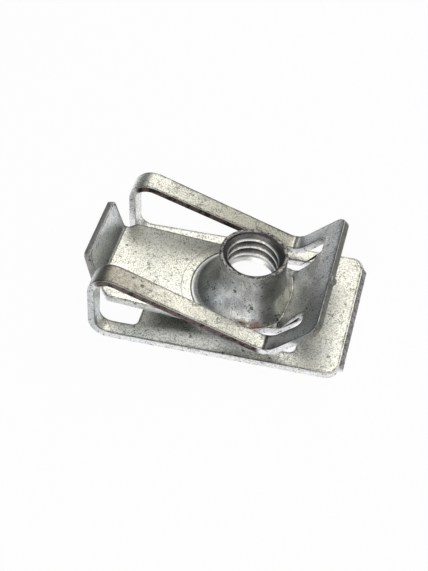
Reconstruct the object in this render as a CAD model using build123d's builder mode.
"""U clip speed nut, M6, folded from one piece of 0.7 mm spring steel strip.

A flat clearance leg folds back over itself in a U-bend that is pierced down to two side strips.
The strips run on as two arms down to a knee, and past the knee they join into a turned-up
lead-in lip. A tongue comes back from the lip between the arms, carries the drawn thread collar,
and ends in an upturned stop tab that stands in the mouth of the U-bend.

Millimetres. +X runs from the U-bend to the lip, +Z is up, and the flat leg lies on Z = 0.
Side-view places are measured from the U-bend's outer face. The origin is at the middle of the
whole clip's footprint, on the face that it rests on.
"""
import os
from math import atan2, cos, degrees, hypot, radians, sin, tan

from build123d import *

# ---- sheet ----------------------------------------------------------------------------------
gauge = 0.7                 # sheet thickness
width = 16.0                # over both arms, and of the flat leg
corner_r = 1.3              # blank's corners

# ---- side view of the outer skin, from the U-bend's outer face ---------------------------------
leg_end = 25.1              # top edge of the flat leg's broken-off end
bend_top = (0.6, 9.1)       # where the U-bend's back would meet the arm's top
knee = (18.1, 2.25)         # where the arm's top would meet the lip's top
lip_tip = (22.8, 6.65)      # top edge of the lip's end
heel_r = 2.0                # U-bend's outer radius at the flat leg
crown_r = 2.2               # U-bend's outer radius at the arms
knee_r = 1.7                # knee's radius on its hollow side

# ---- tongue, seen from the side on its top face --------------------------------------------------
tongue_z = 3.15             # height of its top face at the U-bend
tongue_drop = 5.4           # degrees that it falls towards the knee
fold_x = 0.1                # stop tab's fold
crease_x = 18.8             # where the neck turns up into the lip
tab_lean = 12.5             # degrees that the stop tab leans out over the bend
tab_rise = 3.7              # stop tab's height above its fold
tab_waist = 0.3             # where its sides begin to draw in, above its fold
neck_join = 4.6             # along the lip from the knee, where the neck runs into it

# ---- widths ----------------------------------------------------------------------------------
arm_at_bend = 2.4
arm_at_knee = 2.05
near_strip = 1.7            # U-bend's side strips at the flat leg: the piercing sits off centre
far_strip = 2.15
tongue_half = 5.35
neck_root_half = 4.12       # neck at its crease
neck_half = 3.8             # neck at its narrowest
tab_far = (4.65, 4.5)       # stop tab's far side from the middle plane: at its foot, at its top
tab_near = (4.05, 3.65)     # and its near side
tab_corner_r = 0.55
slot_end = 4.0              # along the lip from the knee, where the side slots end
slot_half = 6.0             # side slots' outer edge in the lip

# ---- thread collar -----------------------------------------------------------------------------
collar_along = 14.6         # its axis, along the tongue
collar_height = 5.35        # above the tongue's top face
rim_r = 3.4
flare_base_r = 5.2          # where the drawn flare leaves the flat tongue
flare_slope = 42
flare_blend_r = 3.6         # flare into the barrel, outside
bore_mouth_r = 0.8          # flare into the bore, inside
thread_r = 3.0              # M6 major radius; the thread's own ridges are finer than this model

# ---- flat leg ----------------------------------------------------------------------------------
cutout_end = 4.55           # piercing that the stop tab was blanked from
screw_slot_r = 5.9          # clearance slot under the collar: its round end
screw_slot_half = 6.1       # and its square end, under the lip
screw_slot_end = 20.5
break_slope = 0.45          # how far the broken-off end stands out at its foot
break_half = 6.85
nub = (-1.2, 0.9, 0.35)     # strip tie's stump on the lip: place across, width, height

# ---- worked out --------------------------------------------------------------------------------
tab_overhang = tab_rise * sin(radians(tab_lean)) + gauge * cos(radians(tab_lean)) - fold_x
centre_x = (leg_end + break_slope - tab_overhang) / 2
lip_angle = degrees(atan2(lip_tip[1] - knee[1], lip_tip[0] - knee[0]))
lip_length = hypot(lip_tip[0] - knee[0], lip_tip[1] - knee[1])
bend_half = width / 2 - arm_at_bend
knee_half = width / 2 - arm_at_knee
near_edge = near_strip - width / 2
far_edge = width / 2 - far_strip

side_view = Plane(origin=(-centre_x, 0, 0), x_dir=(1, 0, 0), z_dir=(0, -1, 0))
plan_view = Plane(origin=(-centre_x, 0, 0))
bend_view = Plane(origin=(-centre_x - 1, 0, 0), x_dir=(0, 1, 0), z_dir=(1, 0, 0))


def on_side(x, z):
    """A side-view point on the clip's middle plane."""
    return Vector(x - centre_x, 0, z)


def along_slope(start, angle, distance):
    """The side-view point at a distance from start, on a line that rises at an angle."""
    return (start[0] + distance * cos(radians(angle)), start[1] + distance * sin(radians(angle)))


def tongue_top(x):
    """Height of the tongue's top face at a side-view x."""
    return tongue_z - x * sin(radians(tongue_drop)) / cos(radians(tongue_drop))


# The lip's own plane: local X runs across the clip, local Y up the lip from the knee.
lip_plane = Plane(
    origin=on_side(*knee),
    x_dir=(0, -1, 0),
    z_dir=(-sin(radians(lip_angle)), 0, cos(radians(lip_angle))),
)
fold = (fold_x, tongue_top(fold_x))
# The stop tab's own plane: local X runs across the clip, local Y up the tab from its fold.
tab_plane = Plane(
    origin=on_side(*fold),
    x_dir=(0, 1, 0),
    z_dir=(cos(radians(tab_lean)), 0, sin(radians(tab_lean))),
)
collar_foot = along_slope((0, tongue_z), -tongue_drop, collar_along)
collar_plane = Plane(
    origin=on_side(*collar_foot),
    x_dir=(cos(radians(tongue_drop)), 0, -sin(radians(tongue_drop))),
    z_dir=(0, -1, 0),
)
collar_axis = Axis(collar_plane.origin, collar_plane.y_dir)

flare_rise = tan(radians(flare_slope))
flare_under_r = flare_base_r - gauge * tan(radians(flare_slope / 2))
flare_outside = [
    (rim_r, collar_height), (rim_r, (flare_base_r - rim_r) * flare_rise), (flare_base_r, 0),
]
flare_inside = [
    (flare_under_r, -gauge), (thread_r, (flare_under_r - thread_r) * flare_rise - gauge),
    (thread_r, collar_height),
]

# ---- tongue with its stop tab and neck -------------------------------------------------------------
neck_top = along_slope(knee, lip_angle, neck_join)
neck_end = along_slope(neck_top, lip_angle, 0.8)
tab_top = along_slope(fold, 90 + tab_lean, tab_rise)
tongue_path = [tab_top, fold, (crease_x, tongue_top(crease_x)), neck_top, neck_end]
tongue_radii = [0.35, 0.7, 2.0]
collar_x = collar_foot[0]

# Plan outline: shouldered at the fold, round beside the collar, waisted at the neck.
shoulder_x = fold_x + 0.45
with BuildSketch(plan_view) as tongue_outline:
    with BuildLine():
        Polyline(
            (-4, 0), (-4, tab_far[0]), (shoulder_x, tab_far[0]), (shoulder_x + 0.7, tongue_half),
            (collar_x, tongue_half),
        )
        beside_collar = CenterArc((collar_x, 0), tongue_half, 90, -32)
        waist = Spline(
            beside_collar @ 1, (crease_x, neck_root_half), (neck_top[0] - 1.2, neck_half),
            (neck_top[0] - 0.5, neck_half + 0.6), tangents=[beside_collar % 1, (0.3, 1)],
        )
        Polyline(waist @ 1, (neck_top[0] + 2, neck_half + 0.6), (neck_top[0] + 2, 0), (-4, 0))
    make_face()
    mirror(about=Plane.XZ)
    # The stop tab is narrower on its near side, so the shoulder there has one more step.
    with BuildLine():
        Polyline(
            (-4, -tab_near[0]), (shoulder_x - 0.2, -tab_near[0]), (shoulder_x, -tab_far[0]),
            (-4, -tab_far[0]), close=True,
        )
    make_face(mode=Mode.SUBTRACT)

with BuildPart() as tongue:
    with BuildSketch(side_view):
        with BuildLine():
            FilletPolyline(*tongue_path, radius=tongue_radii)
            offset(amount=gauge, side=Side.RIGHT)
        make_face()
    extrude(amount=width / 2, both=True)
    extrude(tongue_outline.sketch, amount=12, mode=Mode.INTERSECT)

    # Stop tab: both sides drawn in towards its top, then its corners rounded off.
    for side, (foot_half, top_half) in ((1, tab_far), (-1, tab_near)):
        with BuildSketch(tab_plane):
            with BuildLine():
                Polyline(
                    (side * foot_half, tab_waist), (side * top_half, tab_rise),
                    (side * top_half, tab_rise + 2), (side * (foot_half + 2), tab_rise + 2),
                    (side * (foot_half + 2), tab_waist), close=True,
                )
            make_face()
        extrude(amount=2 * gauge, both=True, mode=Mode.SUBTRACT)
    tab_corners = tongue.edges().filter_by(Axis(tab_plane.origin, tab_plane.z_dir)).group_by(Axis.Z)[-1]
    fillet(tab_corners, radius=tab_corner_r)

    # Hollow under the drawn collar.
    with BuildSketch(collar_plane):
        with BuildLine():
            FilletPolyline(*flare_inside, radius=bore_mouth_r)
            Polyline(flare_inside[-1], (0, collar_height), (0, -gauge), flare_inside[0])
        make_face()
    revolve(axis=collar_axis, mode=Mode.SUBTRACT)

# ---- thread collar: a cone drawn up out of the tongue, its wall thinned towards the rim ------------
with BuildPart() as collar:
    with BuildSketch(collar_plane):
        with BuildLine():
            FilletPolyline(*flare_inside, radius=bore_mouth_r)
            FilletPolyline(*flare_outside, radius=flare_blend_r)
            Line(flare_inside[-1], flare_outside[0])
            Polyline(flare_outside[-1], (flare_base_r, -gauge), flare_inside[0])
        make_face()
    revolve(axis=collar_axis)
    extrude(tongue_outline.sketch, amount=12, mode=Mode.INTERSECT)
    # The flare runs out into the neck, so nothing of it stands out below the neck.
    with BuildSketch(side_view):
        with BuildLine():
            top_face = FilletPolyline(*tongue_path, radius=tongue_radii, mode=Mode.PRIVATE)
            under_face = offset(top_face, amount=gauge, side=Side.RIGHT, closed=False)
            foot = Polyline(under_face @ 1, (leg_end, 0), (leg_end, -3), (-5, -3), under_face @ 0)
        make_face()
    extrude(amount=width, both=True, mode=Mode.SUBTRACT)

# ---- whole clip ------------------------------------------------------------------------------
with BuildPart() as clip_nut:
    # Flat leg, U-bend, arms, knee and lip as one bent strip.
    with BuildSketch(side_view):
        with BuildLine():
            FilletPolyline(
                (leg_end, 0), (0, 0), bend_top, knee, lip_tip,
                radius=[heel_r, crown_r, knee_r],
            )
            offset(amount=gauge, side=Side.RIGHT)
        make_face()
    extrude(amount=width / 2, both=True)
    lip_corners = clip_nut.edges().filter_by(Axis(lip_plane.origin, lip_plane.z_dir)).sort_by(Axis.X)[-2:]
    fillet(lip_corners, radius=corner_r)
    leg_corners = clip_nut.edges().filter_by(Axis.Z).sort_by(Axis.X)[-2:]
    fillet(leg_corners, radius=corner_r)

    # Opening between the arms, which spread a little towards the side slots in the lip.
    with BuildSketch(plan_view.offset(gauge * 1.5)):
        with BuildLine():
            Polyline(
                (crown_r, 0), (crown_r, bend_half), (knee[0], knee_half), (knee[0] + 1, knee_half),
                (knee[0] + 1, 0), close=True,
            )
        make_face()
        mirror(about=Plane.XZ)
    extrude(amount=12, mode=Mode.SUBTRACT)
    with BuildSketch(lip_plane):
        with Locations((0, (slot_end - 1) / 2)):
            RectangleRounded(2 * slot_half, slot_end + 1, 0.7)
    extrude(amount=2 * gauge, both=True, mode=Mode.SUBTRACT)

    # Opening round the U-bend between its two strips, which widen towards the arms.
    with BuildSketch(bend_view):
        with BuildLine():
            Polyline(
                (near_edge, -1), (near_edge, heel_r / 2), (-bend_half, bend_top[1] - crown_r),
                (-bend_half, bend_top[1]), (bend_half, bend_top[1]),
                (bend_half, bend_top[1] - crown_r), (far_edge, heel_r / 2), (far_edge, -1),
                close=True,
            )
        make_face()
    extrude(amount=crown_r + 1, mode=Mode.SUBTRACT)
    with BuildSketch(plan_view) as leg_cutout:
        with BuildLine():
            Polyline(
                (0, near_edge), (cutout_end, near_edge), (cutout_end, far_edge), (0, far_edge),
                close=True,
            )
        make_face()
        fillet(leg_cutout.vertices().group_by(Axis.X)[-1], radius=0.5)
    extrude(amount=gauge, mode=Mode.SUBTRACT)

    # Screw clearance slot, round at the bend's side and square under the lip.
    with BuildSketch(plan_view) as screw_slot:
        with BuildLine():
            round_end = CenterArc((collar_x, 0), screw_slot_r, 90, 90)
            Polyline(
                round_end @ 0, (knee[0], screw_slot_half), (screw_slot_end, screw_slot_half),
                (screw_slot_end, 0), (collar_x - screw_slot_r, 0),
            )
        make_face()
        mirror(about=Plane.XZ)
        fillet(screw_slot.vertices().group_by(Axis.X)[-1], radius=0.6)
    extrude(amount=gauge, mode=Mode.SUBTRACT)

    # Broken-off strip end, sloping out towards its foot between the corners.
    with BuildSketch(side_view):
        with BuildLine():
            Polyline(
                (leg_end - 1, 0), (leg_end + break_slope, 0), (leg_end, gauge), (leg_end - 1, gauge),
                close=True,
            )
        make_face()
    extrude(amount=break_half, both=True)

    # Stump of the strip tie on the lip's end.
    with BuildSketch(lip_plane):
        with Locations((-nub[0], lip_length + nub[2] / 2 - 0.1)):
            Trapezoid(nub[1], nub[2] + 0.2, 75)
    extrude(amount=-gauge)

    add(tongue.part)
    add(collar.part)

clip_nut.part.label = "clip_nut"
os.makedirs("parts", exist_ok=True)
export_step(clip_nut.part, "parts/clip_nut.step")

size = clip_nut.part.bounding_box().size
print(f"clip_nut {size.X:.2f} x {size.Y:.2f} x {size.Z:.2f} mm, solids {len(clip_nut.part.solids())}")
